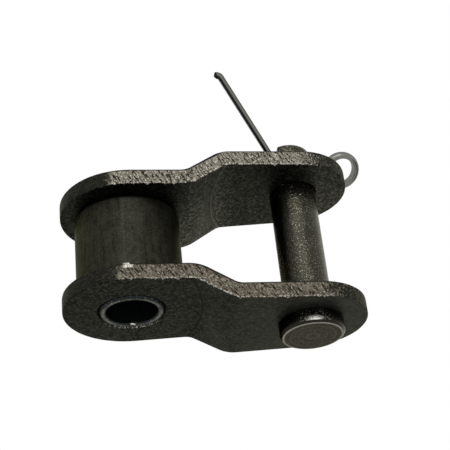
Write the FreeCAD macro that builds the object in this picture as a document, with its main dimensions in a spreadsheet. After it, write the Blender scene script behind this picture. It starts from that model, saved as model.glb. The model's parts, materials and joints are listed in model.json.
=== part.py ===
import FreeCAD, Part
import math
import os
import Sketcher

# Offset link of a roller chain with 12.7 mm pitch: two cranked side plates, a bushing pressed
# into their wide ends, a roller that turns on it, a headed pin through their narrow ends and
# the split cotter that keeps the pin in.
# Millimetres. The origin is the middle of the bushing. X runs to the pin, Y runs along the
# bushing towards the cotter, Z is up and the link stands on the lower edges of its plates.

SIZES = {
    # distance between the axis of the bushing and the axis of the pin
    "pitch": 12.7,
    # sheet that both side plates are stamped from
    "plate_wall": 1.2,
    # round ends of the plates
    "bush_end_radius": 4.92,
    "pin_end_radius": 4.12,
    # clear width between the plates at the bushing and at the pin
    "inner_gap": 6.5,
    "outer_gap": 9.7,
    # crank: its middle, its length along the link on the centre line and at the plate's edges
    "crank_middle": 5.8,
    "crank_run_centre": 1.34,
    "crank_run_edge": 2.78,
    "crank_inside_radius_centre": 0.7,
    "crank_inside_radius_edge": 1.5,
    # bushing
    "bush_outside_radius": 2.42,
    "bush_wall": 0.56,
    "bush_stand_out": 0.08,
    "bush_mouth_chamfer": 0.08,
    "bush_end_chamfer": 0.19,
    "bush_end_chamfer_length": 0.3,
    "bush_seat_chamfer": 0.06,
    # roller and its running clearance on the bushing
    "roller_radius": 3.87,
    "roller_length": 6.1,
    "roller_clearance": 0.06,
    "roller_edge_round": 0.3,
    # pin: shank, head, bevelled end and the flat that stops it turning
    "pin_radius": 1.74,
    "pin_clearance": 0.05,
    "head_radius": 2.36,
    "head_height": 1.08,
    "head_chamfer": 0.18,
    "pin_stand_out": 2.4,
    "pin_end_bevel": 0.22,
    "pin_flat_depth": 0.86,
    # cross hole of the pin and the cotter in it
    "cross_hole_radius": 0.8,
    "cross_hole_stand_out": 1.2,
    "wire_width": 0.9,
    "wire_gap": 0.04,
    "eye_inside_radius": 1.04,
    "eye_reach": 4.28,
    "neck_radius": 0.9,
    "leg_length": 4.8,
    "leg_bend_clearance": 0.05,
    "leg_bend_radius": 0.5,
    "leg_bend_degrees": 51.5,
    "bent_leg_length": 8.0,
    "hook_radius": 0.2,
    "hook_degrees": 55.0,
    "hook_length": 0.12,
    "cotter_rise": 0.15,
    "cotter_roll_degrees": 49.0,
    "cotter_dip_degrees": 9.0,
}

# smallest length that counts when an edge is looked for
TINY = 0.001
# how far blanks and cutting outlines reach past what they make, as a multiple of it
BLANK_REACH_FACTOR = 1.2
CUT_REACH_FACTOR = 2

doc = FreeCAD.newDocument("offset_link")


def make_sheet():
    """Driving dimensions, one named cell each."""
    sheet = doc.addObject("Spreadsheet::Sheet", "dims")
    for row, (alias, value) in enumerate(SIZES.items(), start=1):
        sheet.set("A%d" % row, alias)
        sheet.set("B%d" % row, str(value))
        sheet.setAlias("B%d" % row, alias)
    doc.recompute()
    return sheet


def new_body(name):
    """One piece of the link, with a label that names its file."""
    body = doc.addObject("PartDesign::Body", name)
    body.Label = name
    return body


def origin_part(body, role):
    """Plane or axis of the body's own origin."""
    return next(item for item in body.Origin.OriginFeatures if item.Role == role)


def new_sketch(body, name, role, offset=None):
    """Sketch on an origin plane, moved along its normal by the offset expression."""
    sketch = body.newObject("Sketcher::SketchObject", name)
    sketch.AttachmentSupport = [(origin_part(body, role), "")]
    sketch.MapMode = "FlatFace"
    if offset:
        sketch.setExpression("AttachmentOffset.Base.z", offset)
    return sketch


def value_of(sketch, expression):
    """Present value of an expression, to place geometry near its solution."""
    return float(sketch.evalExpression(expression))


def fix_point(sketch, geometry, point, place):
    """Bind a point's two coordinates to expressions."""
    for kind, expression in zip(("DistanceX", "DistanceY"), place):
        number = sketch.ConstraintCount
        value = value_of(sketch, expression)
        sketch.addConstraint(Sketcher.Constraint(kind, -1, 1, geometry, point, value))
        sketch.setExpression("Constraints[%d]" % number, expression)


def fix_radius(sketch, geometry, expression):
    """Bind an arc's or circle's radius to an expression."""
    number = sketch.ConstraintCount
    value = value_of(sketch, expression)
    sketch.addConstraint(Sketcher.Constraint("Radius", geometry, value))
    sketch.setExpression("Constraints[%d]" % number, expression)


def draw_polygon(sketch, places):
    """Closed outline through points whose coordinates are expressions."""
    corners = [FreeCAD.Vector(value_of(sketch, x), value_of(sketch, y), 0) for x, y in places]
    first = sketch.GeometryCount
    count = len(corners)
    for index in range(count):
        sketch.addGeometry(Part.LineSegment(corners[index], corners[(index + 1) % count]))
    for index in range(count):
        following = first + (index + 1) % count
        sketch.addConstraint(Sketcher.Constraint("Coincident", first + index, 2, following, 1))
    for index, place in enumerate(places):
        fix_point(sketch, first + index, 1, place)


def draw_circle(sketch, place, radius):
    """Circle with a bound centre and radius."""
    centre = FreeCAD.Vector(value_of(sketch, place[0]), value_of(sketch, place[1]), 0)
    circle = Part.Circle(centre, FreeCAD.Vector(0, 0, 1), value_of(sketch, radius))
    number = sketch.addGeometry(circle)
    fix_point(sketch, number, 3, place)
    fix_radius(sketch, number, radius)


def arc_between(centre, radius, start, end):
    """Arc about a centre from one angle to another, anticlockwise, in radians."""
    circle = Part.Circle(centre, FreeCAD.Vector(0, 0, 1), radius)
    return Part.ArcOfCircle(circle, start, end)


def pocket_through(body, name, sketch):
    """Cut the sketch through the whole piece, both ways."""
    pocket = body.newObject("PartDesign::Pocket", name)
    pocket.Profile = sketch
    pocket.Type = "ThroughAll"
    pocket.Midplane = True
    doc.recompute()
    return pocket


def edge_names(shape, wanted):
    """Names of the edges that the test accepts."""
    return ["Edge%d" % (index + 1) for index, edge in enumerate(shape.Edges) if wanted(edge)]


def dress_edges(body, kind, name, size, expression, wanted):
    """Fillet or chamfer of the edges that the test accepts."""
    base = body.Tip
    names = edge_names(base.Shape, wanted)
    feature = body.newObject("PartDesign::" + kind, name)
    feature.Base = (base, names)
    feature.setExpression(size, expression)
    doc.recompute()
    return feature


sheet = make_sheet()


def size(name):
    """Number in the sheet's cell of that name."""
    return float(sheet.get(name))


# Side plates. Both are drawn at +Y. The near one is the same stamping turned half a turn
# about X, which its outline allows because it is alike above and below.
RISE = "((dims.outer_gap - dims.inner_gap) / 2)"
INNER_FACE_LOW = "(dims.inner_gap / 2)"
INNER_FACE_HIGH = "(dims.outer_gap / 2)"
OUTER_FACE_LOW = "(dims.inner_gap / 2 + dims.plate_wall)"
OUTER_FACE_HIGH = "(dims.outer_gap / 2 + dims.plate_wall)"
CRANK_START = "(dims.crank_middle - dims.crank_run_edge)"
CRANK_END = "(dims.crank_middle + dims.crank_run_edge)"
PLATE_REACH = "dims.bush_end_radius"
BLANK_REACH = "(dims.bush_end_radius * %s)" % BLANK_REACH_FACTOR
CUT_REACH = "(dims.bush_end_radius * %s)" % CUT_REACH_FACTOR


def bend_points(corner, before, after, setback):
    """Ends of a bend's arc, set back from its sharp corner along the two straight runs."""
    start = tuple("%s - %s * %s" % (place, setback, along) for place, along in zip(corner, before))
    end = tuple("%s + %s * %s" % (place, setback, along) for place, along in zip(corner, after))
    return start, end


def draw_bend(sketch, start, end, radius, turn, over_half=False):
    """Arc between two bound points, turning left for 1 and right for -1."""
    first = FreeCAD.Vector(value_of(sketch, start[0]), value_of(sketch, start[1]), 0)
    last = FreeCAD.Vector(value_of(sketch, end[0]), value_of(sketch, end[1]), 0)
    radius_value = value_of(sketch, radius)
    chord = last - first
    side = -turn if over_half else turn
    across = FreeCAD.Vector(-chord.y, chord.x, 0).normalize() * side
    centre = (first + last) * 0.5 + across * math.sqrt(radius_value ** 2 - (chord.Length / 2) ** 2)
    opening, closing = (first, last) if turn > 0 else (last, first)
    angles = [math.atan2(point.y - centre.y, point.x - centre.x) for point in (opening, closing)]
    arc = sketch.addGeometry(arc_between(centre, radius_value, *angles))
    fix_radius(sketch, arc, radius)
    return arc


def draw_run(sketch, start, end):
    """Straight run between two bound points."""
    first = FreeCAD.Vector(value_of(sketch, start[0]), value_of(sketch, start[1]), 0)
    last = FreeCAD.Vector(value_of(sketch, end[0]), value_of(sketch, end[1]), 0)
    line = sketch.addGeometry(Part.LineSegment(first, last))
    fix_point(sketch, line, 1, start)
    fix_point(sketch, line, 2, end)
    return line


def join(sketch, before, before_end, after, after_end):
    """Make two ends meet."""
    sketch.addConstraint(Sketcher.Constraint("Coincident", before, before_end, after, after_end))


def crank_profile(body, name, height, run, inside_radius):
    """Section of the cranked sheet at one height."""
    sketch = new_sketch(body, name, "XY_Plane", height)
    slope = "atan(%s / %s)" % (RISE, run)
    lean = "dims.plate_wall / 2 * tan(%s / 2)" % slope
    outside_radius = "(%s + dims.plate_wall)" % inside_radius
    inside_setback = "(%s * tan(%s / 2))" % (inside_radius, slope)
    outside_setback = "(%s * tan(%s / 2))" % (outside_radius, slope)
    first = "(dims.crank_middle - %s / 2" % run
    second = "(dims.crank_middle + %s / 2" % run
    level = ("1", "0")
    back = ("-1", "0")
    climb = ("cos(%s)" % slope, "sin(%s)" % slope)
    descent = ("-cos(%s)" % slope, "-sin(%s)" % slope)
    inner_first = bend_points((first + " + " + lean + ")", INNER_FACE_LOW), level, climb, outside_setback)
    inner_second = bend_points((second + " + " + lean + ")", INNER_FACE_HIGH), climb, level, inside_setback)
    outer_second = bend_points((second + " - " + lean + ")", OUTER_FACE_HIGH), back, descent, outside_setback)
    outer_first = bend_points((first + " - " + lean + ")", OUTER_FACE_LOW), descent, back, inside_setback)
    start_inner = (CRANK_START, INNER_FACE_LOW)
    end_inner = (CRANK_END, INNER_FACE_HIGH)
    end_outer = (CRANK_END, OUTER_FACE_HIGH)
    start_outer = (CRANK_START, OUTER_FACE_LOW)
    runs = [draw_run(sketch, start, end) for start, end in (
        (start_inner, inner_first[0]),
        (inner_first[1], inner_second[0]),
        (inner_second[1], end_inner),
        (end_inner, end_outer),
        (end_outer, outer_second[0]),
        (outer_second[1], outer_first[0]),
        (outer_first[1], start_outer),
        (start_outer, start_inner),
    )]
    bends = (
        (0, inner_first, outside_radius, 1),
        (1, inner_second, inside_radius, -1),
        (4, outer_second, outside_radius, 1),
        (5, outer_first, inside_radius, -1),
    )
    for before, ends, radius, turn in bends:
        arc = draw_bend(sketch, ends[0], ends[1], radius, turn)
        arc_start, arc_end = (1, 2) if turn > 0 else (2, 1)
        join(sketch, runs[before], 2, arc, arc_start)
        join(sketch, arc, arc_end, runs[before + 1], 1)
    return sketch


def flat_pad(body, name, left, right, face):
    """Flat stretch of the sheet between two places along the link."""
    sketch = new_sketch(body, name + "_blank", "XZ_Plane", "-%s" % face)
    low = "-" + BLANK_REACH
    high = BLANK_REACH
    draw_polygon(sketch, [(left, low), (right, low), (right, high), (left, high)])
    pad = body.newObject("PartDesign::Pad", name)
    pad.Profile = sketch
    pad.Reversed = True
    pad.setExpression("Length", "dims.plate_wall")
    doc.recompute()
    return pad


def draw_plate_outline(sketch):
    """Two round ends joined by straight tapering edges."""
    pitch = size("pitch")
    wide = size("bush_end_radius")
    narrow = size("pin_end_radius")
    lean = math.acos((wide - narrow) / pitch)
    there = FreeCAD.Vector(pitch, 0, 0)
    up = FreeCAD.Vector(math.cos(lean), math.sin(lean), 0)
    down = FreeCAD.Vector(math.cos(lean), -math.sin(lean), 0)
    wide_arc = sketch.addGeometry(arc_between(FreeCAD.Vector(), wide, lean, 2 * math.pi - lean))
    lower = sketch.addGeometry(Part.LineSegment(down * wide, there + down * narrow))
    narrow_arc = sketch.addGeometry(arc_between(there, narrow, -lean, lean))
    upper = sketch.addGeometry(Part.LineSegment(there + up * narrow, up * wide))
    round_trip = (wide_arc, lower, narrow_arc, upper, wide_arc)
    for before, after in zip(round_trip, round_trip[1:]):
        sketch.addConstraint(Sketcher.Constraint("Tangent", before, 2, after, 1))
    fix_point(sketch, wide_arc, 3, ("0", "0"))
    fix_point(sketch, narrow_arc, 3, ("dims.pitch", "0"))
    fix_radius(sketch, wide_arc, "dims.bush_end_radius")
    fix_radius(sketch, narrow_arc, "dims.pin_end_radius")


def draw_flatted_circle(sketch, centre_x, radius, flat):
    """Circle with one flat on the bushing's side, the flat being a distance from the centre."""
    radius_value = value_of(sketch, radius)
    flat_value = value_of(sketch, flat)
    angle = math.acos(-flat_value / radius_value)
    centre = FreeCAD.Vector(value_of(sketch, centre_x), 0, 0)
    arc = sketch.addGeometry(arc_between(centre, radius_value, -angle, angle))
    half_chord = radius_value * math.sin(angle)
    top = centre + FreeCAD.Vector(-flat_value, half_chord, 0)
    bottom = centre + FreeCAD.Vector(-flat_value, -half_chord, 0)
    chord = sketch.addGeometry(Part.LineSegment(top, bottom))
    sketch.addConstraint(Sketcher.Constraint("Coincident", arc, 2, chord, 1))
    sketch.addConstraint(Sketcher.Constraint("Coincident", chord, 2, arc, 1))
    sketch.addConstraint(Sketcher.Constraint("Vertical", chord))
    fix_point(sketch, arc, 3, (centre_x, "0"))
    fix_radius(sketch, arc, radius)
    number = sketch.ConstraintCount
    sketch.addConstraint(Sketcher.Constraint("DistanceX", -1, 1, chord, 1, top.x))
    sketch.setExpression("Constraints[%d]" % number, "%s - %s" % (centre_x, flat))


def seat_mouth(edge):
    """Picks the edge of the bushing's seat on the outer face."""
    if edge.Curve.TypeId != "Part::GeomCircle":
        return False
    is_seat = abs(edge.Curve.Radius - size("bush_outside_radius")) < TINY
    outer_face = size("inner_gap") / 2 + size("plate_wall")
    return is_seat and abs(edge.Curve.Center.y - outer_face) < TINY


PIN_HOLE_RADIUS = "(dims.pin_radius + dims.pin_clearance)"
PIN_FLAT_PLACE = "(dims.pin_radius - dims.pin_flat_depth)"
PIN_HOLE_FLAT = "(dims.pin_radius - dims.pin_flat_depth + dims.pin_clearance)"


def build_plate(name, flatted):
    """Cranked side plate with its seat for the bushing and its hole for the pin."""
    body = new_body(name)
    centre = ("dims.crank_run_centre", "dims.crank_inside_radius_centre")
    edge = ("dims.crank_run_edge", "dims.crank_inside_radius_edge")
    middle = crank_profile(body, name + "_crank_middle", None, *centre)
    lower = crank_profile(body, name + "_crank_low", "-" + PLATE_REACH, *edge)
    upper = crank_profile(body, name + "_crank_high", PLATE_REACH, *edge)
    doc.recompute()
    crank = body.newObject("PartDesign::AdditiveLoft", name + "_crank")
    crank.Profile = lower
    crank.Sections = [middle, upper]
    doc.recompute()

    wide_end = "-" + BLANK_REACH
    narrow_end = "dims.pitch + " + BLANK_REACH
    flat_pad(body, name + "_bush_end", wide_end, CRANK_START, INNER_FACE_LOW)
    flat_pad(body, name + "_pin_end", CRANK_END, narrow_end, INNER_FACE_HIGH)

    trim = new_sketch(body, name + "_outline", "XZ_Plane")
    low = "-" + CUT_REACH
    high = CUT_REACH
    left = "-" + CUT_REACH
    right = "dims.pitch + " + CUT_REACH
    draw_polygon(trim, [(left, low), (right, low), (right, high), (left, high)])
    draw_plate_outline(trim)
    doc.recompute()
    pocket_through(body, name + "_trim", trim)

    seat = new_sketch(body, name + "_bush_seat_outline", "XZ_Plane")
    draw_circle(seat, ("0", "0"), "dims.bush_outside_radius")
    doc.recompute()
    pocket_through(body, name + "_bush_seat", seat)
    dress_edges(body, "Chamfer", name + "_seat_edge", "Size", "dims.bush_seat_chamfer", seat_mouth)

    hole = new_sketch(body, name + "_pin_hole_outline", "XZ_Plane")
    if flatted:
        draw_flatted_circle(hole, "dims.pitch", PIN_HOLE_RADIUS, PIN_HOLE_FLAT)
    else:
        draw_circle(hole, ("dims.pitch", "0"), PIN_HOLE_RADIUS)
    doc.recompute()
    pocket_through(body, name + "_pin_hole", hole)
    return body


near_plate = build_plate("near_plate", False)
near_plate.Placement = FreeCAD.Placement(FreeCAD.Vector(), FreeCAD.Rotation(FreeCAD.Vector(1, 0, 0), 180))
far_plate = build_plate("far_plate", True)


# Turned pieces. Each section is drawn in the XY plane, X being the radius and Y the axis.
def turned(body, name, places):
    """Solid turned from a section about the Y axis."""
    section = new_sketch(body, name + "_section", "XY_Plane")
    draw_polygon(section, places)
    turning = body.newObject("PartDesign::Revolution", name)
    turning.Profile = section
    turning.ReferenceAxis = (section, ["V_Axis"])
    turning.Angle = 360
    doc.recompute()
    return turning


def circle_test(radius):
    """Picks whole circles of one radius."""
    def wanted(edge):
        is_circle = edge.Curve.TypeId == "Part::GeomCircle"
        return is_circle and abs(edge.Curve.Radius - radius) < TINY
    return wanted


def build_bushing():
    """Bushing pressed into both plates, standing a little proud of them."""
    body = new_body("bushing")
    half = "(%s + dims.bush_stand_out)" % OUTER_FACE_LOW
    bore = "(dims.bush_outside_radius - dims.bush_wall)"
    mouth = "(%s + dims.bush_mouth_chamfer)" % bore
    rim = "(dims.bush_outside_radius - dims.bush_end_chamfer)"
    turned(body, "bushing_tube", [
        (bore, "-%s + dims.bush_mouth_chamfer" % half),
        (mouth, "-%s" % half),
        (rim, "-%s" % half),
        ("dims.bush_outside_radius", "-%s + dims.bush_end_chamfer_length" % half),
        ("dims.bush_outside_radius", "%s - dims.bush_end_chamfer_length" % half),
        (rim, half),
        (mouth, half),
        (bore, "%s - dims.bush_mouth_chamfer" % half),
    ])
    return body


def build_roller():
    """Roller that turns on the bushing between the plates."""
    body = new_body("roller")
    bore = "(dims.bush_outside_radius + dims.roller_clearance)"
    half = "(dims.roller_length / 2)"
    turned(body, "roller_ring", [
        (bore, "-" + half),
        ("dims.roller_radius", "-" + half),
        ("dims.roller_radius", half),
        (bore, half),
    ])
    rims = circle_test(size("roller_radius"))
    dress_edges(body, "Fillet", "roller_rims", "Radius", "dims.roller_edge_round", rims)
    return body


CROSS_HOLE_PLACE = "(%s + dims.cross_hole_stand_out)" % OUTER_FACE_HIGH
PIN_END = "(%s + dims.pin_stand_out)" % OUTER_FACE_HIGH
PIN_CUT_REACH = "(dims.pin_radius * %s)" % CUT_REACH_FACTOR


def build_pin():
    """Headed pin with a flatted, cross-drilled end."""
    body = new_body("pin")
    head_face = "(%s + dims.head_height)" % OUTER_FACE_HIGH
    turned(body, "pin_shank", [
        ("0", "-%s" % head_face),
        ("dims.head_radius - dims.head_chamfer", "-%s" % head_face),
        ("dims.head_radius", "-%s + dims.head_chamfer" % head_face),
        ("dims.head_radius", "-%s" % OUTER_FACE_HIGH),
        ("dims.pin_radius", "-%s" % OUTER_FACE_HIGH),
        ("dims.pin_radius", "%s - dims.pin_end_bevel" % PIN_END),
        ("dims.pin_radius - dims.pin_end_bevel", PIN_END),
        ("0", PIN_END),
    ])
    flat = new_sketch(body, "pin_flat_outline", "XZ_Plane", "-%s" % INNER_FACE_HIGH)
    inside = "-%s" % PIN_FLAT_PLACE
    outside = "-%s" % PIN_CUT_REACH
    low = outside
    high = PIN_CUT_REACH
    draw_polygon(flat, [(outside, low), (inside, low), (inside, high), (outside, high)])
    cut = body.newObject("PartDesign::Pocket", "pin_flat")
    cut.Profile = flat
    cut.setExpression("Length", "%s * %s" % (PIN_END, CUT_REACH_FACTOR))
    doc.recompute()

    hole = new_sketch(body, "cross_hole_outline", "YZ_Plane")
    draw_circle(hole, (CROSS_HOLE_PLACE, "0"), "dims.cross_hole_radius")
    doc.recompute()
    pocket_through(body, "cross_hole", hole)
    body.setExpression("Placement.Base.x", "dims.pitch")
    return body


HALF_GAP = "(dims.wire_gap / 2)"
LEG_EXIT = "(%s + dims.leg_bend_clearance)" % PIN_FLAT_PLACE


def draw_cotter_path(sketch):
    """Line of the wire's flat side: straight leg, eye, shank, bent leg and its hooked tip."""
    neck = "dims.neck_radius"
    eye = "dims.eye_inside_radius"
    bend = "dims.leg_bend_radius"
    angle = "dims.leg_bend_degrees"
    hook = "dims.hook_radius"
    turn_in = "dims.hook_degrees"
    offset = "(%s + %s)" % (HALF_GAP, neck)
    span = "sqrt((%s + %s)^2 - %s^2)" % (neck, eye, offset)
    neck_x = "dims.eye_reach - %s" % span
    eye_share = "%s / (%s + %s)" % (eye, neck, eye)
    meet_x = "dims.eye_reach - %s * %s" % (span, eye_share)
    meet_y = "%s * %s" % (offset, eye_share)
    bend_x = "-%s - %s * sin(%s)" % (LEG_EXIT, bend, angle)
    bend_y = "%s + %s * (1 - cos(%s))" % (HALF_GAP, bend, angle)
    leg_x = "%s - dims.bent_leg_length * cos(%s)" % (bend_x, angle)
    leg_y = "%s + dims.bent_leg_length * sin(%s)" % (bend_y, angle)
    final = "(%s - %s)" % (angle, turn_in)
    hook_x = "%s - %s * (sin(%s) - sin(%s))" % (leg_x, hook, angle, final)
    hook_y = "%s - %s * (cos(%s) - cos(%s))" % (leg_y, hook, angle, final)
    tip_x = "%s - dims.hook_length * cos(%s)" % (hook_x, final)
    tip_y = "%s + dims.hook_length * sin(%s)" % (hook_y, final)
    low_start = ("-%s - dims.leg_length" % LEG_EXIT, "-%s" % HALF_GAP)
    low_neck = (neck_x, "-%s" % HALF_GAP)
    low_meet = (meet_x, "-%s" % meet_y)
    high_meet = (meet_x, meet_y)
    high_neck = (neck_x, HALF_GAP)
    exit_point = ("-%s" % LEG_EXIT, HALF_GAP)
    bend_end = (bend_x, bend_y)
    leg_end = (leg_x, leg_y)
    hook_end = (hook_x, hook_y)
    tip = (tip_x, tip_y)
    straight_leg = draw_run(sketch, low_start, low_neck)
    lower_neck = draw_bend(sketch, low_neck, low_meet, neck, -1)
    round_eye = draw_bend(sketch, low_meet, high_meet, eye, 1, True)
    upper_neck = draw_bend(sketch, high_meet, high_neck, neck, -1)
    shank = draw_run(sketch, high_neck, exit_point)
    leg_bend = draw_bend(sketch, exit_point, bend_end, bend, -1)
    bent_leg = draw_run(sketch, bend_end, leg_end)
    hook_bend = draw_bend(sketch, leg_end, hook_end, hook, 1)
    hooked_tip = draw_run(sketch, hook_end, tip)
    join(sketch, straight_leg, 2, lower_neck, 2)
    join(sketch, lower_neck, 1, round_eye, 1)
    join(sketch, round_eye, 2, upper_neck, 2)
    join(sketch, upper_neck, 1, shank, 1)
    join(sketch, shank, 2, leg_bend, 2)
    join(sketch, leg_bend, 1, bent_leg, 1)
    join(sketch, bent_leg, 2, hook_bend, 1)
    join(sketch, hook_bend, 2, hooked_tip, 1)


def build_cotter():
    """Split cotter of half-round wire, flat side inwards, one leg bent over."""
    body = new_body("cotter")
    path = new_sketch(body, "cotter_path", "XY_Plane")
    draw_cotter_path(path)
    section = new_sketch(body, "cotter_wire", "YZ_Plane", "-%s - dims.leg_length" % LEG_EXIT)
    half_width = value_of(section, "dims.wire_width / 2")
    half_gap = value_of(section, HALF_GAP)
    upper = FreeCAD.Vector(-half_gap, half_width, 0)
    lower = FreeCAD.Vector(-half_gap, -half_width, 0)
    centre = FreeCAD.Vector(-half_gap, 0, 0)
    crown = section.addGeometry(arc_between(centre, half_width, math.pi / 2, 3 * math.pi / 2))
    flat = section.addGeometry(Part.LineSegment(lower, upper))
    join(section, crown, 2, flat, 1)
    join(section, flat, 2, crown, 1)
    fix_point(section, flat, 1, ("-%s" % HALF_GAP, "-dims.wire_width / 2"))
    fix_point(section, flat, 2, ("-%s" % HALF_GAP, "dims.wire_width / 2"))
    number = section.ConstraintCount
    section.addConstraint(Sketcher.Constraint("DistanceX", -1, 1, crown, 3, -half_gap))
    section.setExpression("Constraints[%d]" % number, "-%s" % HALF_GAP)
    doc.recompute()
    wire = body.newObject("PartDesign::AdditivePipe", "cotter_sweep")
    wire.Profile = section
    wire.Spine = (path, [""])
    doc.recompute()
    place = "create(<<vector>>; dims.pitch; %s; dims.cotter_rise)" % CROSS_HOLE_PLACE
    turn = "create(<<rotation>>; 0; dims.cotter_dip_degrees; dims.cotter_roll_degrees)"
    body.setExpression("Placement", "create(<<placement>>; %s; %s)" % (place, turn))
    return body


bushing = build_bushing()
roller = build_roller()
pin = build_pin()
cotter = build_cotter()
doc.recompute()

PIECES = (near_plate, far_plate, bushing, roller, pin, cotter)


def check_model():
    """Stop if anything in the document failed."""
    for item in doc.Objects:
        if "Invalid" in item.State or "Error" in item.State:
            raise RuntimeError("%s is %s" % (item.Name, item.State))
    for piece in PIECES:
        if piece.Shape.isNull() or not piece.Shape.isValid():
            raise RuntimeError("%s has no valid shape" % piece.Label)


check_model()
os.makedirs("parts", exist_ok=True)
for piece in PIECES:
    piece.Shape.exportStep(os.path.join("parts", piece.Label + ".step"))
    box = piece.Shape.BoundBox
    corners = (box.XMin, box.YMin, box.ZMin, box.XMax, box.YMax, box.ZMax)
    print(piece.Label, "%.3f mm3" % piece.Shape.Volume, ["%.2f" % value for value in corners])
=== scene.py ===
import json
from math import cos, radians, sin

import bmesh
import bpy
from mathutils import Matrix, Vector


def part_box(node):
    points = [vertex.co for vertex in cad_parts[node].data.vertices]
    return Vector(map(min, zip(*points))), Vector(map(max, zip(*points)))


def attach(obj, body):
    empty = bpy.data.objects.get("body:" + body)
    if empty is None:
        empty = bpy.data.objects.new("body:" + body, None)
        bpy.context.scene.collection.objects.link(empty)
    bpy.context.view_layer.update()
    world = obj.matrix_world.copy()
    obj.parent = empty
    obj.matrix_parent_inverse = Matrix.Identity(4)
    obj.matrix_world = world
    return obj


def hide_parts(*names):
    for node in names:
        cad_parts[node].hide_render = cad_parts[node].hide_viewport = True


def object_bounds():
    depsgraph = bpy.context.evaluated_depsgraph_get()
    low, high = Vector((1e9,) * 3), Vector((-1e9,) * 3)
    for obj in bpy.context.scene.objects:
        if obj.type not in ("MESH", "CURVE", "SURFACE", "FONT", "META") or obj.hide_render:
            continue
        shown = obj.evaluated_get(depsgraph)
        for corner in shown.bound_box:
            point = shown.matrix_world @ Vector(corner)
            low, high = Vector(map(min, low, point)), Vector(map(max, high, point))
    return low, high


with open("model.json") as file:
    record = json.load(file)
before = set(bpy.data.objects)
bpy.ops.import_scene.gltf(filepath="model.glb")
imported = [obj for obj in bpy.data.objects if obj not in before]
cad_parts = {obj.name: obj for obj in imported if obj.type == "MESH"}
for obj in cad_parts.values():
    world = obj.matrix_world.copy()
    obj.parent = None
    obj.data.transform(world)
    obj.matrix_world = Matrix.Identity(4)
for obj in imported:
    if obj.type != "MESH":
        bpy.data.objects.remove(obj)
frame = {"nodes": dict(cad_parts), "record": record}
cad_low, cad_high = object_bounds()

MM = 0.001

# Camera, from a fit to the photograph
LENS_MM = 90.64
SENSOR_MM = 36
CAMERA_AZIMUTH = radians(-12.39)
CAMERA_ELEVATION = radians(58.41)
CAMERA_ROLL = radians(8.11)
CAMERA_TARGET = Vector((7.309, 2.404, 0)) * MM
CAMERA_DISTANCE = 84.78 * MM

# Light. The lamps' powers are in watts
WORLD_LIGHT = 0.7
SOFTBOX_POWER = 0.06
SPARK_POWER = 0.011


def box_mm(node):
    """Lowest and highest corner of a node, in millimetres."""
    low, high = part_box(node)
    return low / MM, high / MM


# Sizes of the link that its finishes follow, in millimetres, from the frame where it has them
mounts = {mount["name"]: mount for mount in frame["record"]["mounts"]}
near_low = box_mm("near_plate")[0]
far_low, far_high = box_mm("far_plate")
bush_low, bush_high = box_mm("bushing")
pin_low, pin_high = box_mm("pin")
PITCH = mounts["pin_seat"]["pos_m"][0] / MM
WIDE_RADIUS = -far_low.x
NARROW_RADIUS = far_high.x - PITCH
INNER_LOW = far_low.y
BUSH_STAND_OUT = 0.08
SHEET = bush_high.y - BUSH_STAND_OUT - INNER_LOW
INNER_HIGH = far_high.y - SHEET
BORE_RADIUS = mounts["bush_bore"]["dims"]["r_mm"]
BUSH_RADIUS = bush_high.x
BUSH_FACE = bush_low.y
HEAD_FACE = pin_low.y
HEAD_HEIGHT = near_low.y - HEAD_FACE
HEAD_CHAMFER = 0.18
HEAD_FACE_RADIUS = pin_high.x - PITCH - HEAD_CHAMFER

# Crank of the plates, and the creases at its ends
CRANK_MIDDLE = 5.8
CRANK_RUN = 2.78
CREASE_NEAR = 5.0
CREASE_FAR = 6.45
CREASE_BOW = 0.75

# Burr along the sheared edges on top of the plates
BURR_START = -1.2
BURR_END = PITCH + 1.4
BURR_LOWEST = 3.0
BURR_SPACING = 0.13
BURR_HEIGHT = 0.17
BURR_FOOT = 0.07
BURR_TUCK = 0.02
BURR_SEED = 5.0

# Large burr on the near plate, above the bushing, and where it shines most
LUMP_START = -0.55
LUMP_END = 0.15
LUMP_HEIGHT = 0.5
LUMP_SHINE = -0.22

# Slant of the tears in the sheared edges
TEAR_SLANT = radians(-32)

# Middle of the painted highlight on the side of the pin's head
HEAD_SPOT = PITCH - 0.15

# Directions of the bent leg's round side, where a reflection is painted, and of the eye's side that shows
# the seam of its two wires
LEG_ROUND_SIDE = (0.85, 0.41, 0.34)
EYE_SEAM_SIDE = (0.1, -0.755, 0.648)

# Small rounds on the sharp edges of each piece
PLATE_ROUND = 0.1
PIN_ROUND = 0.1
COTTER_ROUND = 0.06
RING_ROUND = 0.03

# Limits of what counts as the same point, a flat face, a sharp edge and an edge that isn't shaded smooth
SAME_POINT = 0.0002
FLAT_ANGLE = radians(0.4)
SHARP_ANGLE = radians(28)
SMOOTH_ANGLE = radians(35)

FLOAT = "NodeSocketFloat"
VECTOR = "NodeSocketVector"
GEOMETRY = "NodeSocketGeometry"
MATERIAL = "NodeSocketMaterial"


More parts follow.
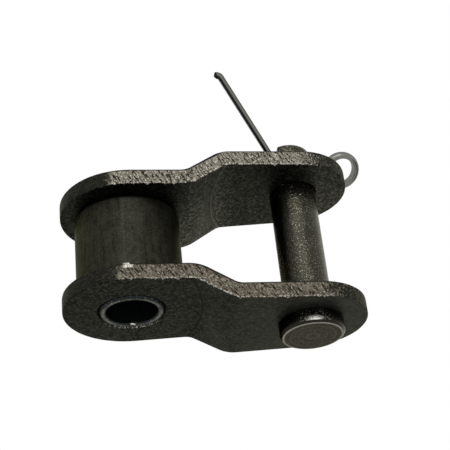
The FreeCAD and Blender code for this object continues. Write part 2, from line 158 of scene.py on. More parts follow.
def aim_camera():
    """Camera at the photograph's viewing angle."""
    level = Vector((cos(CAMERA_AZIMUTH), sin(CAMERA_AZIMUTH), 0))
    back = Vector((sin(CAMERA_AZIMUTH) * cos(CAMERA_ELEVATION),
                   -cos(CAMERA_AZIMUTH) * cos(CAMERA_ELEVATION),
                   sin(CAMERA_ELEVATION)))
    raised = back.cross(level)
    right = level * cos(CAMERA_ROLL) + raised * sin(CAMERA_ROLL)
    up = raised * cos(CAMERA_ROLL) - level * sin(CAMERA_ROLL)
    data = bpy.data.cameras.new("camera")
    data.lens = LENS_MM
    data.sensor_width = SENSOR_MM
    data.clip_start = MM
    data.clip_end = 10
    camera = bpy.data.objects.new("camera", data)
    turn = Matrix((right, up, back)).transposed().to_4x4()
    camera.matrix_world = Matrix.Translation(CAMERA_TARGET + back * CAMERA_DISTANCE) @ turn
    bpy.context.collection.objects.link(camera)
    bpy.context.scene.camera = camera


class Tree:
    """Short way to write nodes."""

    def __init__(self, tree):
        self.tree = tree
        self.tree.nodes.clear()

    def node(self, kind, inputs=None, **settings):
        """The outputs of a new node, whose inputs are values or the sockets of other nodes."""
        made = self.tree.nodes.new(kind)
        for name, value in settings.items():
            setattr(made, name, value)
        for key, value in (inputs or {}).items():
            if isinstance(value, bpy.types.NodeSocket):
                self.tree.links.new(value, made.inputs[key])
            else:
                made.inputs[key].default_value = value
        return made.outputs

    def use(self, group, **inputs):
        """The output of a shared node group, with this material's own values."""
        return self.node("ShaderNodeGroup", inputs, node_tree=group)[0]

    def math(self, operation, *values):
        """Result of one sum."""
        return self.node("ShaderNodeMath", dict(enumerate(values)), operation=operation)[0]

    def plus(self, first, second):
        """Sum of two values."""
        return self.math("ADD", first, second)

    def minus(self, first, second):
        """First value less the second."""
        return self.math("SUBTRACT", first, second)

    def product(self, first, *others):
        """Product of values, which for masks is where all of them meet."""
        result = first
        for other in others:
            result = self.math("MULTIPLY", result, other)
        return result

    def apart(self, value, middle):
        """Distance of a value from a middle."""
        return self.math("ABSOLUTE", self.minus(value, middle))

    def ramp(self, value, low, high, start=0.0, end=1.0):
        """Smooth step from start at low to end at high."""
        inputs = {"Value": value, "From Min": low, "From Max": high, "To Min": start, "To Max": end}
        return self.node("ShaderNodeMapRange", inputs, interpolation_type="SMOOTHSTEP")["Result"]

    def fade(self, value, low, high):
        """Smooth step down from 1 at low to 0 at high."""
        return self.ramp(value, low, high, 1.0, 0.0)

    def mix(self, factor, first, second):
        """Colour between two colours."""
        return self.node("ShaderNodeMix", {0: factor, 6: first, 7: second}, data_type="RGBA")[2]

    def vector(self, operation, *values, **named):
        """Vector that one operation on vectors gives."""
        inputs = {**dict(enumerate(values)), **named}
        return self.node("ShaderNodeVectorMath", inputs, operation=operation)[0]

    def stretch(self, point, scales):
        """Point with a scale of its own along each axis."""
        return self.vector("MULTIPLY", point, scales)

    def dot(self, first, second):
        """How far two directions agree."""
        return self.node("ShaderNodeVectorMath", {0: first, 1: second}, operation="DOT_PRODUCT")["Value"]

    def radius(self, point, axis_x=0.0):
        """Distance from the bushing's axis, or from the parallel axis at axis_x."""
        across = self.stretch(self.vector("SUBTRACT", point, (axis_x, 0, 0)), (1, 0, 1))
        return self.node("ShaderNodeVectorMath", {0: across}, operation="LENGTH")["Value"]

    def noise(self, point, scale, detail=3.0, roughness=0.55):
        """Cloudy noise."""
        inputs = {"Vector": point, "Scale": scale, "Detail": detail, "Roughness": roughness}
        return self.node("ShaderNodeTexNoise", inputs)["Fac"]

    def bump(self, height, strength, depth, normal=None):
        """Normal of a surface with a height, whose full depth is given in millimetres."""
        inputs = {"Height": height, "Strength": strength, "Distance": depth * MM}
        if normal is not None:
            inputs["Normal"] = normal
        return self.node("ShaderNodeBump", inputs)["Normal"]


def make_group(name, inputs, outputs, build, kind="ShaderNodeTree"):
    """Node group with named inputs and outputs. The build function gives each output's socket."""
    group = bpy.data.node_groups.new(name, kind)
    for socket_name, socket_kind in inputs.items():
        group.interface.new_socket(socket_name, in_out="INPUT", socket_type=socket_kind)
    for socket_name, socket_kind in outputs.items():
        group.interface.new_socket(socket_name, in_out="OUTPUT", socket_type=socket_kind)
    tree = Tree(group)
    tree.node("NodeGroupOutput", build(tree, tree.node("NodeGroupInput")))
    return group


def build_grain(tree, given):
    """Fine grain of a steel surface."""
    return {"Grain": tree.noise(given["Place"], given["Scale"], 3.0, given["Roughness"])}


def build_clouds(tree, given):
    """Broad clouds of oxide, stains and drawing marks."""
    return {"Clouds": tree.noise(given["Place"], given["Scale"], 4.0, given["Roughness"])}


def build_specks(tree, given):
    """Glinting specks of a rough surface."""
    return {"Specks": tree.ramp(tree.noise(given["Place"], given["Scale"], 2.0, 0.6), 0.56, 0.72)}


PATTERN = {"Place": VECTOR, "Scale": FLOAT, "Roughness": FLOAT}
GRAIN = make_group("grain", PATTERN, {"Grain": FLOAT}, build_grain)
CLOUDS = make_group("clouds", PATTERN, {"Clouds": FLOAT}, build_clouds)
SPECKS = make_group("specks", {"Place": VECTOR, "Scale": FLOAT}, {"Specks": FLOAT}, build_specks)


def colour(red, green, blue):
    """Colour as a shader socket takes it."""
    return (red, green, blue, 1)


OILED_TINT = colour(0.66, 0.66, 0.62)


def new_material(name):
    """Material, its node tree, and the surface's place in millimetres and its normal."""
    material = bpy.data.materials.new(name)
    material.use_nodes = True
    tree = Tree(material.node_tree)
    where = tree.node("ShaderNodeTexCoord")
    point = tree.vector("SCALE", where["Object"], Scale=1 / MM)
    along = tree.node("ShaderNodeSeparateXYZ", {0: point})
    place = {"Point": point, "X": along["X"], "Y": along["Y"], "Z": along["Z"], "Normal": where["Normal"]}
    return material, tree, place


def set_metal(tree, base, roughness, normal, metal=1.0, tint=OILED_TINT):
    """Metal shader and its output. The tint is the steel's colour at a grazing angle."""
    inputs = {"Base Color": base, "Roughness": roughness, "Normal": normal, "Metallic": metal,
              "Specular Tint": tint}
    steel = tree.node("ShaderNodeBsdfPrincipled", inputs)
    tree.node("ShaderNodeOutputMaterial", {"Surface": steel[0]})


def tear_marks(tree, place):
    """Slanted tears of sheared steel, and the crumbs between them."""
    inputs = {"Vector": place["Point"], "Axis": (0, 0, 1), "Angle": TEAR_SLANT}
    slanted = tree.node("ShaderNodeVectorRotate", inputs, rotation_type="AXIS_ANGLE")[0]
    tears = tree.noise(tree.stretch(slanted, (8.0, 1.6, 1.6)), 1.0, 2.0, 0.6)
    crumbs = tree.noise(tree.stretch(slanted, (10.0, 6.5, 6.5)), 1.0, 2.0, 0.6)
    return tears, crumbs


def sheared_mask(tree, place, rim, tears, crumbs):
    """Where the plates' edges are torn: between their round ends, with a ragged start and finish."""
    wander = tree.product(tree.minus(tree.noise(place["Point"], 1.5), 0.5), 1.6)
    along = tree.plus(place["X"], wander)
    ragged_start = tree.plus(along, tree.product(tree.minus(tears, 0.5), 2.0))
    ragged_end = tree.minus(along, tree.product(crumbs, 3.0))
    return tree.product(rim, tree.ramp(ragged_start, -1.5, -0.8),
                        tree.fade(ragged_end, PITCH - 1.2, PITCH + 0.3))


def sheet_depth(tree, place):
    """How deep a point of the plates' edge lies from the side that faces -Y, in millimetres."""
    crank_start = CRANK_MIDDLE - CRANK_RUN / 2
    inputs = {"Value": place["X"], "From Min": crank_start, "From Max": crank_start + CRANK_RUN,
              "To Min": INNER_LOW, "To Max": INNER_HIGH}
    inner_face = tree.node("ShaderNodeMapRange", inputs)["Result"]
    from_inner = tree.minus(tree.math("ABSOLUTE", place["Y"]), inner_face)
    from_middle = tree.product(tree.minus(from_inner, SHEET / 2), tree.math("SIGN", place["Y"]))
    return tree.plus(from_middle, SHEET / 2)


def torn_colour(tree, place, near, depth, tears, crumbs):
    """Bright torn metal with dark tears and glints, a burr painted bright as a highlight on one side and a
    dark roll-over on the other.
    """
    ground = tree.mix(near, colour(0.19, 0.175, 0.14), colour(0.118, 0.103, 0.077))
    torn = tree.mix(tree.ramp(tears, 0.42, 0.5), colour(0.016, 0.011, 0.007), ground)
    pits = tree.product(tree.fade(crumbs, 0.36, 0.46), 0.5)
    torn = tree.mix(pits, torn, colour(0.025, 0.019, 0.012))
    glints = tree.product(tree.ramp(crumbs, 0.54, 0.66), tree.ramp(near, 0.0, 1.0, 0.7, 0.35))
    torn = tree.mix(glints, torn, colour(0.6, 0.57, 0.48))
    # burr along the face side, its brightness a painted highlight
    burr = tree.product(tree.fade(depth, 0.14, 0.26), tree.ramp(crumbs, 0.46, 0.58),
                        tree.ramp(tree.noise(place["Point"], 2.4, 1.0), 0.4, 0.55, 0.3, 1.0))
    torn = tree.mix(burr, torn, colour(0.45, 0.43, 0.37))
    rolled_over = tree.ramp(depth, SHEET - 0.06, SHEET + 0.04)
    return tree.mix(rolled_over, torn, colour(0.012, 0.011, 0.008))


def lump_mask(tree, place, near, depth, crumbs):
    """Painted highlight round the large burr on top of the near plate."""
    along = tree.fade(tree.apart(place["X"], LUMP_SHINE), 0.1, 0.5)
    on_inner_edge = tree.ramp(depth, SHEET - 0.25, SHEET - 0.12)
    on_top = tree.ramp(place["Z"], 4.0, 4.5)
    return tree.product(along, near, on_inner_edge, tree.ramp(crumbs, 0.35, 0.5), on_top)


def crease(tree, place, middle, bow):
    """Thin curved line where the sheet was bent, at one place along the link on its centre line."""
    height = tree.product(place["Z"], 1 / NARROW_RADIUS)
    bowed = tree.product(height, height, bow)
    return tree.fade(tree.apart(tree.minus(place["X"], middle), bowed), 0.02, 0.09)


def painted_light_mask(tree, place, far_inner):
    """Painted light on the far plate's inner face: less past the crank, and painted shade by the pin and
    near its top.
    """
    past_start = tree.ramp(place["X"], 2.8, 5.0)
    past_crank = tree.ramp(place["X"], CRANK_MIDDLE + 0.7, CRANK_MIDDLE + 2.2, 0.75, 0.4)
    near_top = tree.ramp(place["Z"], -2.5, 3.5, 1.4, 0.65)
    from_pin = tree.ramp(tree.apart(place["X"], PITCH - 2.5), 0.5, 4.0, 0.35, 1.25)
    return tree.product(past_start, far_inner, past_crank, near_top, from_pin)


def oxide_colour(tree, place, near, far_inner, grain):
    """Cloudy, grainy black oxide, painted lighter towards the pin on the near plate, with painted light and
    shade on the far plate's inner face.
    """
    clouds = tree.ramp(tree.use(CLOUDS, Place=place["Point"], Scale=1.6, Roughness=0.7), 0.38, 0.62)
    oxide = tree.mix(clouds, colour(0.002, 0.002, 0.0015), colour(0.015, 0.0152, 0.012))
    oxide = tree.mix(tree.ramp(grain, 0.48, 0.64), oxide, colour(0.042, 0.042, 0.033))
    # painted light on the near plate, rising towards the pin
    by_pin = tree.product(tree.ramp(place["X"], 4.0, PITCH, 0.0, 0.35), near)
    oxide = tree.mix(by_pin, oxide, colour(0.07, 0.07, 0.058))
    # painted light and shade on the far plate's inner face
    lightened = tree.mix(tree.ramp(grain, 0.44, 0.64), colour(0.026, 0.026, 0.02), colour(0.12, 0.12, 0.097))
    return tree.mix(painted_light_mask(tree, place, far_inner), oxide, lightened)


def chips_mask(tree, place, crumbs):
    """Bright chips in the plate along the lower edge of the bushing's seat."""
    radius = tree.radius(place["Point"])
    round_seat = tree.product(tree.ramp(radius, BUSH_RADIUS, BUSH_RADIUS + 0.05),
                              tree.fade(radius, BUSH_RADIUS + 0.18, BUSH_RADIUS + 0.28))
    return tree.product(round_seat, tree.fade(place["Z"], -1.9, -1.5), tree.ramp(crumbs, 0.58, 0.62))


def round_end_colour(tree, place, crumbs):
    """Oxide on the untorn edges of the round ends, with scuffs painted lighter towards the pin's end."""
    stretched = tree.stretch(place["Point"], (2.0, 7.0, 2.0))
    streaks = tree.use(CLOUDS, Place=stretched, Scale=1.0, Roughness=0.65)
    oxide = tree.mix(tree.ramp(streaks, 0.4, 0.7), colour(0.011, 0.011, 0.009), colour(0.029, 0.028, 0.022))
    # scuffs whose brightness rises towards the pin's end: painted light
    scuffs_and_painted_light = tree.product(tree.ramp(crumbs, 0.5, 0.64), tree.ramp(place["X"], 0.0, PITCH, 0.15, 0.9))
    return tree.mix(scuffs_and_painted_light, oxide, colour(0.12, 0.116, 0.09))


def plate_material():
    """Oiled black oxide with bright torn metal along the sheared edges."""
    material, tree, place = new_material("plate_steel")
    looks_y = tree.node("ShaderNodeSeparateXYZ", {0: place["Normal"]})["Y"]
    rim = tree.fade(tree.math("ABSOLUTE", looks_y), 0.3, 0.55)
    near = tree.math("LESS_THAN", place["Y"], 0.0)
    far_inner = tree.product(tree.minus(1.0, near), tree.fade(looks_y, -0.5, -0.1))
    tears, crumbs = tear_marks(tree, place)
    sheared = sheared_mask(tree, place, rim, tears, crumbs)
    depth = tree.plus(sheet_depth(tree, place), tree.product(crumbs, 0.2))
    grain = tree.use(GRAIN, Place=place["Point"], Scale=5.0, Roughness=0.75)
    near_crease = tree.product(crease(tree, place, CREASE_NEAR, -CREASE_BOW), near)
    far_crease = tree.product(crease(tree, place, CREASE_FAR, CREASE_BOW), far_inner)

    face = oxide_colour(tree, place, near, far_inner, grain)
    # painted shade along the near crease and a painted highlight along the far crease
    face = tree.mix(tree.product(near_crease, 0.9), face, colour(0.0015, 0.0015, 0.0015))
    face = tree.mix(tree.product(far_crease, 0.4), face, colour(0.2, 0.2, 0.16))
    face = tree.mix(chips_mask(tree, place, crumbs), face, colour(0.5, 0.48, 0.42))
    base = tree.mix(rim, face, round_end_colour(tree, place, crumbs))
    base = tree.mix(sheared, base, torn_colour(tree, place, near, depth, tears, crumbs))
    # painted highlight on the large burr
    lump = tree.product(lump_mask(tree, place, near, depth, crumbs), rim)
    base = tree.mix(lump, base, colour(0.8, 0.77, 0.69))

    torn_height = tree.product(tree.plus(tree.product(tears, 0.6), tree.product(crumbs, 0.4)), sheared)
    normal = tree.bump(grain, 0.6, 0.03)
    normal = tree.bump(torn_height, 0.8, 0.15, normal)
    normal = tree.bump(tree.math("MAXIMUM", near_crease, far_crease), 0.5, 0.03, normal)
    roughness = tree.ramp(sheared, 0.0, 1.0, 0.52, 0.5)
    set_metal(tree, base, roughness, normal, metal=tree.ramp(sheared, 0.0, 1.0, 1.0, 0.8))
    return material


def roller_material():
    """Dark hardened steel with faint marks along the axis."""
    material, tree, place = new_material("roller_steel")
    stretched = tree.stretch(place["Point"], (3.0, 0.3, 3.0))
    drawn = tree.use(CLOUDS, Place=stretched, Scale=1.0, Roughness=0.6)
    stains = tree.use(CLOUDS, Place=place["Point"], Scale=1.2, Roughness=0.65)
    grain = tree.use(GRAIN, Place=place["Point"], Scale=9.0, Roughness=0.65)
    base = tree.mix(tree.ramp(drawn, 0.3, 0.7), colour(0.009, 0.009, 0.0067), colour(0.026, 0.0257, 0.0193))
    base = tree.mix(tree.product(tree.ramp(stains, 0.42, 0.7), 0.5), base, colour(0.042, 0.04, 0.03))
    base = tree.mix(tree.product(tree.ramp(grain, 0.46, 0.66), 0.5), base, colour(0.052, 0.051, 0.037))
    set_metal(tree, base, 0.48, tree.bump(grain, 0.4, 0.03), tint=colour(0.58, 0.58, 0.49))
    return material


def head_side(tree, place, base, radius, depth):
    """The pin's colour with the dark side of its head, and scuffs with painted glints round the painted
    highlight.
    """
    # scuffs with painted glints, fading away from the painted highlight
    scuffs_and_painted_light = tree.product(tree.ramp(tree.noise(place["Point"], 7.0, 2.0), 0.5, 0.58),
                          tree.fade(tree.apart(place["X"], HEAD_SPOT), 0.5, 1.5))
    side = tree.mix(scuffs_and_painted_light, colour(0.01, 0.009, 0.007), colour(0.3, 0.28, 0.23))
    on_side = tree.product(tree.ramp(radius, HEAD_FACE_RADIUS + 0.06, HEAD_FACE_RADIUS + 0.12),
                           tree.fade(depth, HEAD_HEIGHT, HEAD_HEIGHT + 0.1))
    return tree.mix(tree.product(on_side, 0.85), base, side)


def head_face(tree, base, radius, on_face, grain):
    """The pin's colour with the face of its head, which has faint turning rings and a rubbed edge."""
    base = tree.mix(tree.product(on_face, 0.7), base, colour(0.024, 0.0238, 0.0208))
    outwards = tree.node("ShaderNodeCombineXYZ", {0: radius})[0]
    turned = tree.ramp(tree.noise(outwards, 3.5, 2.0), 0.45, 0.65, 0.0, 0.6)
    base = tree.mix(tree.product(on_face, turned), base, colour(0.078, 0.077, 0.067))
    base = tree.mix(tree.product(on_face, tree.ramp(grain, 0.46, 0.66)), base, colour(0.07, 0.069, 0.061))
    lightened = tree.product(tree.ramp(radius, HEAD_FACE_RADIUS - 0.15, HEAD_FACE_RADIUS - 0.09),
                          tree.fade(radius, HEAD_FACE_RADIUS - 0.01, HEAD_FACE_RADIUS + 0.03), on_face,
                          tree.ramp(grain, 0.35, 0.6, 0.5, 1.0))
    return tree.mix(lightened, base, colour(0.26, 0.25, 0.215))


def head_edge(tree, place, base, radius, depth, grain):
    """The pin's colour with the dark chamfer of its head, and a painted highlight below it."""
    chamfer = tree.product(tree.ramp(radius, HEAD_FACE_RADIUS, HEAD_FACE_RADIUS + 0.04),
                           tree.fade(depth, 0.17, 0.22))
    base = tree.mix(chamfer, base, colour(0.02, 0.018, 0.014))
    # painted highlight on the side of the head below the chamfer, broken by the grain
    below_chamfer = tree.product(tree.ramp(depth, 0.17, 0.2), tree.fade(depth, 0.3, 0.6))
    bright_patch = tree.product(below_chamfer, tree.fade(tree.apart(place["X"], HEAD_SPOT), 0.1, 0.7),
                        tree.ramp(place["Z"], 1.5, 2.0), tree.ramp(grain, 0.35, 0.55, 0.3, 1.0))
    return tree.mix(bright_patch, base, colour(0.95, 0.93, 0.86))


def pin_material():
    """Hardened pin steel, olive brown with glinting specks."""
    material, tree, place = new_material("pin_steel")
    clouds = tree.use(CLOUDS, Place=place["Point"], Scale=0.6, Roughness=0.6)
    specks = tree.use(SPECKS, Place=place["Point"], Scale=12.0)
    grain = tree.use(GRAIN, Place=place["Point"], Scale=9.0, Roughness=0.65)
    base = tree.mix(clouds, colour(0.021, 0.0205, 0.016), colour(0.046, 0.0445, 0.034))
    base = tree.mix(tree.product(specks, 0.7), base, colour(0.34, 0.325, 0.24))

    radius = tree.radius(place["Point"], PITCH)
    depth = tree.minus(place["Y"], HEAD_FACE)
    on_face = tree.fade(depth, 0.02, 0.06)
    base = head_side(tree, place, base, radius, depth)
    base = head_face(tree, base, radius, on_face, grain)
    base = head_edge(tree, place, base, radius, depth, grain)
    by_far_plate = tree.product(tree.ramp(place["Y"], INNER_HIGH - 1.6, INNER_HIGH - 0.2),
                                tree.fade(place["Y"], INNER_HIGH, INNER_HIGH + 0.2))
    glints = tree.product(by_far_plate, tree.ramp(tree.noise(place["Point"], 6.0, 2.0), 0.63, 0.68))
    base = tree.mix(glints, base, colour(0.8, 0.78, 0.7))

    # painted reflection: the steel's tint is raised on the pin's outer side and lowered on its other side
    outer_side = tree.ramp(place["X"], PITCH - 1.2, PITCH - 0.2)
    tint = tree.mix(outer_side, colour(0.35, 0.35, 0.33), colour(0.95, 0.95, 0.87))
    tint = tree.mix(on_face, tint, colour(0.5, 0.49, 0.45))
    set_metal(tree, base, 0.2, tree.bump(grain, 0.6, 0.05), tint=tint)
    return material


def painted_glint_mask(tree, place, radius):
    """Small painted glint at the bottom of the bushing's mouth."""
    beside = tree.fade(tree.apart(place["X"], 0.1), 0.05, 0.3)
    glint_noise = tree.ramp(tree.noise(place["Point"], 8.0, 2.0), 0.48, 0.58)
    at_mouth = tree.product(tree.fade(place["Z"], -1.8, -1.65),
                            tree.fade(place["Y"], BUSH_FACE + 0.1, BUSH_FACE + 0.25),
                            tree.fade(radius, BORE_RADIUS + 0.08, BORE_RADIUS + 0.12))
    return tree.product(beside, glint_noise, at_mouth)


def bushing_material():
    """Dark steel with a brighter worn mouth, painted darker at the mouth's top and bottom as shade."""
    material, tree, place = new_material("bushing_steel")
    specks = tree.use(SPECKS, Place=place["Point"], Scale=7.0)
    grain = tree.use(GRAIN, Place=place["Point"], Scale=8.0, Roughness=0.6)
    radius = tree.radius(place["Point"])
    # the mouth's ring is painted darker at its top and bottom: painted shade
    ring = tree.product(tree.ramp(radius, BORE_RADIUS + 0.09, BORE_RADIUS + 0.14),
                        tree.fade(radius, BORE_RADIUS + 0.27, BORE_RADIUS + 0.36),
                        tree.ramp(tree.math("ABSOLUTE", place["X"]), 0.7, 1.8, 0.55, 1.15))
    patches = tree.ramp(tree.noise(place["Point"], 0.9, 2.0, 0.6), 0.4, 0.6)
    bright_patch = tree.mix(patches, colour(0.035, 0.035, 0.03), colour(0.12, 0.12, 0.104))
    base = tree.mix(ring, colour(0.014, 0.017, 0.018), bright_patch)
    outside_bore = tree.ramp(radius, BORE_RADIUS + 0.02, BORE_RADIUS + 0.09, 0.0, 0.4)
    base = tree.mix(tree.product(specks, outside_bore), base, colour(0.3, 0.3, 0.25))
    base = tree.mix(painted_glint_mask(tree, place, radius), base, colour(0.9, 0.88, 0.8))
    set_metal(tree, base, 0.4, tree.bump(grain, 0.4, 0.03), metal=0.9)
    return material


def cotter_material():
    """Bright drawn wire, duller on its bent leg, with a painted reflection along the leg's round side."""
    material, tree, place = new_material("cotter_steel")
    clouds = tree.use(CLOUDS, Place=place["Point"], Scale=0.6, Roughness=0.6)
    grain = tree.use(GRAIN, Place=place["Point"], Scale=6.0, Roughness=0.6)
    leg = tree.fade(place["X"], PITCH - 1.5, PITCH + 1.5)
    round_side = tree.dot(place["Normal"], LEG_ROUND_SIDE)
    # painted reflection along the round side of the bent leg
    painted_leg_reflection = tree.product(tree.ramp(round_side, 0.3, 0.5), tree.fade(round_side, 0.8, 0.95))
    dull = tree.mix(clouds, colour(0.006, 0.006, 0.005), colour(0.02, 0.02, 0.018))
    dull = tree.mix(painted_leg_reflection, dull, colour(0.155, 0.155, 0.142))
    seam_side = tree.dot(place["Normal"], EYE_SEAM_SIDE)
    seam = tree.product(tree.ramp(seam_side, 0.8, 0.88), tree.fade(seam_side, 0.93, 0.97),
                        tree.ramp(place["X"], PITCH + 4.9, PITCH + 5.4))
    bright = tree.mix(clouds, colour(0.12, 0.12, 0.108), colour(0.24, 0.24, 0.22))
    bright = tree.mix(seam, bright, colour(0.012, 0.012, 0.011))
    tint = tree.mix(leg, OILED_TINT, colour(0.4, 0.4, 0.38))
    set_metal(tree, tree.mix(leg, bright, dull), 0.3, tree.bump(grain, 0.3, 0.01), tint=tint)
    return material


def stored(tree, name, kind="FLOAT"):
    """Value that the points of a burr carry by this name."""
    return tree.node("GeometryNodeInputNamedAttribute", {"Name": name}, data_type=kind)[0]


def store(tree, geometry, name, value, kind="FLOAT"):
    """Geometry whose points carry a value by this name."""
    inputs = {"Geometry": geometry, "Name": name, "Value": value}
    return tree.node("GeometryNodeStoreNamedAttribute", inputs, data_type=kind, domain="POINT")[0]


def ragged(tree, seed, shift, scale):
    """Noise round 0 along a burr, with a scale per millimetre."""
    inputs = {"Vector": stored(tree, "centre", "FLOAT_VECTOR"), "W": tree.plus(seed, shift),
              "Scale": scale / MM, "Detail": 0.0}
    return tree.node("ShaderNodeTexNoise", inputs, noise_dimensions="4D", normalize=False)[0]


def build_burr(tree, given):
    """Ragged burr of triangular section along lines that carry the directions of their two faces.

    Corner 0 of the section lies on the rim, corner 1 is the burr's tip and corner 2 lies on the face.
    """
    inputs = {"Curve": tree.node("GeometryNodeMeshToCurve", {0: given["Lines"]})[0],
              "Length": given["Spacing"]}
    line = tree.node("GeometryNodeResampleCurve", inputs, mode="LENGTH")[0]
    line = store(tree, line, "centre", tree.node("GeometryNodeInputPosition")[0], "FLOAT_VECTOR")
    section = tree.node("GeometryNodeCurvePrimitiveCircle", {"Resolution": 3})[0]
    section = store(tree, section, "corner", tree.node("GeometryNodeInputIndex")[0])
    inputs = {"Curve": line, "Profile Curve": section, "Fill Caps": True}
    burr = tree.node("GeometryNodeCurveToMesh", inputs)[0]

    corner = stored(tree, "corner")
    is_rim = tree.math("MAXIMUM", tree.minus(1.0, corner), 0.0)
    is_tip = tree.minus(1.0, tree.apart(corner, 1.0))
    is_face = tree.math("MAXIMUM", tree.minus(corner, 1.0), 0.0)
    height = tree.product(is_tip, stored(tree, "height"))
    seed = given["Seed"]
    stands_out = tree.plus(ragged(tree, seed, 0.0, 3.1), tree.product(ragged(tree, seed, 3.0, 7.7), 0.8))
    out = tree.product(tree.math("MAXIMUM", stands_out, -0.1), height)
    out = tree.minus(out, tree.product(is_rim, given["Foot"]))
    out = tree.minus(out, tree.product(is_face, given["Tuck"]))
    up = tree.product(ragged(tree, seed, 9.0, 5.3), 0.6, height)
    up = tree.minus(up, tree.product(is_rim, given["Tuck"]))
    up = tree.minus(up, tree.product(is_face, given["Foot"]))

    outwards = tree.vector("SCALE", stored(tree, "outer", "FLOAT_VECTOR"), Scale=out)
    upwards = tree.vector("SCALE", stored(tree, "rim", "FLOAT_VECTOR"), Scale=up)
    centre = stored(tree, "centre", "FLOAT_VECTOR")
    place = tree.vector("ADD", tree.vector("ADD", centre, outwards), upwards)
    burr = tree.node("GeometryNodeSetPosition", {"Geometry": burr, "Position": place})[0]
    burr = tree.node("GeometryNodeRealizeInstances", {0: burr})[0]
    burr = tree.node("GeometryNodeSetMaterial", {"Geometry": burr, "Material": given["Steel"]})[0]
    return {"Burr": burr}


BURR_INPUTS = {"Lines": GEOMETRY, "Spacing": FLOAT, "Foot": FLOAT, "Tuck": FLOAT, "Seed": FLOAT,
               "Steel": MATERIAL}
BURR = make_group("burr", BURR_INPUTS, {"Burr": GEOMETRY}, build_burr, "GeometryNodeTree")


def is_torn(edge):
    """True for the edge on top of a plate's straight sides, where its rim meets the face that looks -Y."""
    if len(edge.link_faces) != 2:
        return False
    middle = (edge.verts[0].co + edge.verts[1].co) / 2 / MM
    facing = sorted(face.normal.y for face in edge.link_faces)
    on_corner = facing[0] < -0.7 and abs(facing[1]) < 0.3
    return on_corner and BURR_START < middle.x < BURR_END and middle.z > BURR_LOWEST


def torn_lines(work):
    """Each torn edge: its two ends, the directions of its two faces, and its burr's height."""
    lines = []
    for edge in filter(is_torn, work.edges):
        outer, rim = sorted(edge.link_faces, key=lambda face: face.normal.y)
        ends = sorted((vert.co.copy() for vert in edge.verts), key=lambda end: end.x)
        lines.append((ends, outer.normal.copy(), rim.normal.copy(), BURR_HEIGHT * MM))
    return lines


def lump_line():
    """Line of the large burr, on the near plate's inner edge above the bushing."""
    ends = [Vector((x, -INNER_LOW, WIDE_RADIUS)) * MM for x in (LUMP_START, LUMP_END)]
    return ends, Vector((0, 1, 0)), Vector((0, 0, 1)), LUMP_HEIGHT * MM


def carry(mesh, name, kind, field, values):
    """Gives the two ends of each line of a mesh that line's value, by a name."""
    layer = mesh.attributes.new(name, kind, "POINT").data
    for line, value in enumerate(values):
        setattr(layer[2 * line], field, value)
        setattr(layer[2 * line + 1], field, value)


def baked(piece):
    """Plain mesh of an object with its modifiers applied."""
    return bpy.data.meshes.new_from_object(piece.evaluated_get(bpy.context.evaluated_depsgraph_get()))


def burr_mesh(name, lines, material):
    """Mesh of the burrs along these lines."""
    ends, outers, rims, heights = zip(*lines)
    mesh = bpy.data.meshes.new(name)
    mesh.from_pydata([point for pair in ends for point in pair],
                     [(2 * line, 2 * line + 1) for line in range(len(lines))], [])
    carry(mesh, "outer", "FLOAT_VECTOR", "vector", outers)
    carry(mesh, "rim", "FLOAT_VECTOR", "vector", rims)
    carry(mesh, "height", "FLOAT", "value", heights)
    burrs = bpy.data.objects.new(name, mesh)
    bpy.context.collection.objects.link(burrs)
    modifier = burrs.modifiers.new("burr", "NODES")
    modifier.node_group = BURR
    values = {"Spacing": BURR_SPACING * MM, "Foot": BURR_FOOT * MM, "Tuck": BURR_TUCK * MM,
              "Seed": BURR_SEED, "Steel": material}
    for socket_name, value in values.items():
        modifier[BURR.interface.items_tree[socket_name].identifier] = value
    made = baked(burrs)
    bpy.data.objects.remove(burrs)
    for attribute in ("outer", "rim", "height", "centre", "corner"):
        made.attributes.remove(made.attributes[attribute])
    return made


def eased_mesh(node, material, width, torn):
    """The node's own mesh with its sharp edges rounded, or with burrs where they were torn."""
    work = bmesh.new()
    work.from_mesh(frame["nodes"][node].data)
    bmesh.ops.remove_doubles(work, verts=work.verts, dist=SAME_POINT * MM)
    bmesh.ops.dissolve_limit(work, angle_limit=FLAT_ANGLE, verts=work.verts, edges=work.edges)
    lines = torn_lines(work) if torn else []
    sharp = [edge for edge in work.edges if edge.is_manifold and edge.calc_face_angle(0) > SHARP_ANGLE
             and not (torn and is_torn(edge))]
    bmesh.ops.bevel(work, geom=sharp, offset=width * MM, offset_type="OFFSET", segments=3,
                    profile=0.5, affect="EDGES", clamp_overlap=False)
    bmesh.ops.triangulate(work, faces=[face for face in work.faces if len(face.verts) > 4])
    if node == "near_plate":
        lines.append(lump_line())
    if lines:
        work.from_mesh(burr_mesh(node + "_burrs", lines, material))
        bmesh.ops.recalc_face_normals(work, faces=work.faces)
    mesh = bpy.data.meshes.new(node + "_finished")
    work.to_mesh(mesh)
    work.free()
    return mesh


def make_piece(node, body, material, width, torn=False):
    """The finished piece that stands for a node on its body."""
    mesh = eased_mesh(node, material, width, torn)
    mesh.attributes.remove(mesh.attributes["custom_normal"])
    mesh.shade_smooth()
    mesh.set_sharp_from_angle(angle=SMOOTH_ANGLE)
    mesh.materials.clear()
    mesh.materials.append(material)
    piece = bpy.data.objects.new(node + "_finished", mesh)
    bpy.context.collection.objects.link(piece)
    flat_faces_first = piece.modifiers.new("flat_faces_first", "WEIGHTED_NORMAL")
    flat_faces_first.keep_sharp = True
    piece.data = baked(piece)
    piece.modifiers.clear()
    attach(piece, body)
    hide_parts(node)


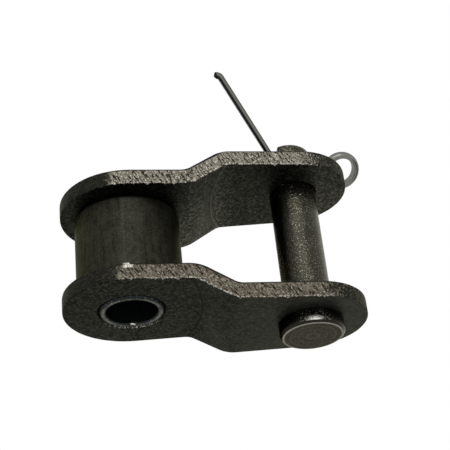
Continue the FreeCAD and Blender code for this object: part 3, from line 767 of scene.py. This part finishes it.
def soft_light(name, place, aim, size, power):
    """Rectangular softbox. Its place, aim and size are in millimetres."""
    data = bpy.data.lights.new(name, "AREA")
    data.shape = "RECTANGLE"
    data.size = size[0] * MM
    data.size_y = size[1] * MM
    data.energy = power
    light = bpy.data.objects.new(name, data)
    light.location = Vector(place) * MM
    light.rotation_euler = (Vector(place) - Vector(aim)).to_track_quat("Z", "Y").to_euler()
    light.visible_camera = False
    bpy.context.collection.objects.link(light)


def in_view(tree):
    """1 for what the camera sees, also as a reflection or through glass."""
    rays = tree.node("ShaderNodeLightPath")
    seen = tree.math("MAXIMUM", rays["Is Camera Ray"], rays["Is Glossy Ray"])
    return tree.math("MAXIMUM", seen, rays["Is Transmission Ray"])


def build_world():
    """Plain white in view, and softer light on the object."""
    world = bpy.data.worlds.new("studio")
    world.use_nodes = True
    tree = Tree(world.node_tree)
    soft = tree.node("ShaderNodeBackground", {"Color": colour(1, 1, 1), "Strength": WORLD_LIGHT})[0]
    white = tree.node("ShaderNodeBackground", {"Color": colour(1, 1, 1), "Strength": 1.0})[0]
    both = tree.node("ShaderNodeMixShader", {0: in_view(tree), 1: soft, 2: white})[0]
    tree.node("ShaderNodeOutputWorld", {"Surface": both})
    bpy.context.scene.world = world


def build_floor():
    """Pale floor under the link, plain white in view."""
    half = 0.6
    level = cad_low[2]
    mesh = bpy.data.meshes.new("floor")
    corners = [(-half, -half, level), (half, -half, level), (half, half, level), (-half, half, level)]
    mesh.from_pydata(corners, [], [(0, 1, 2, 3)])
    material = bpy.data.materials.new("floor")
    material.use_nodes = True
    tree = Tree(material.node_tree)
    pale = tree.node("ShaderNodeBsdfDiffuse", {"Color": colour(0.8, 0.8, 0.8)})[0]
    white = tree.node("ShaderNodeEmission", {"Color": colour(1, 1, 1), "Strength": 1.0})[0]
    both = tree.node("ShaderNodeMixShader", {0: in_view(tree), 1: pale, 2: white})[0]
    tree.node("ShaderNodeOutputMaterial", {"Surface": both})
    mesh.materials.append(material)
    floor = bpy.data.objects.new("floor", mesh)
    bpy.context.collection.objects.link(floor)


aim_camera()
build_world()
build_floor()
soft_light("softbox", place=(-4, 80, 155), aim=(6, 0, 0), size=(120, 30), power=SOFTBOX_POWER)
soft_light("spark", place=(32, 83, 157), aim=(12, -7, 2), size=(24, 24), power=SPARK_POWER)

plate_steel = plate_material()
make_piece("near_plate", "link", plate_steel, PLATE_ROUND, torn=True)
make_piece("far_plate", "link", plate_steel, PLATE_ROUND, torn=True)
make_piece("bushing", "link", bushing_material(), RING_ROUND)
make_piece("roller", "roller", roller_material(), RING_ROUND)
make_piece("pin", "link", pin_material(), PIN_ROUND)
make_piece("cotter", "link", cotter_material(), COTTER_ROUND)

bpy.context.scene.view_settings.view_transform = "Standard"
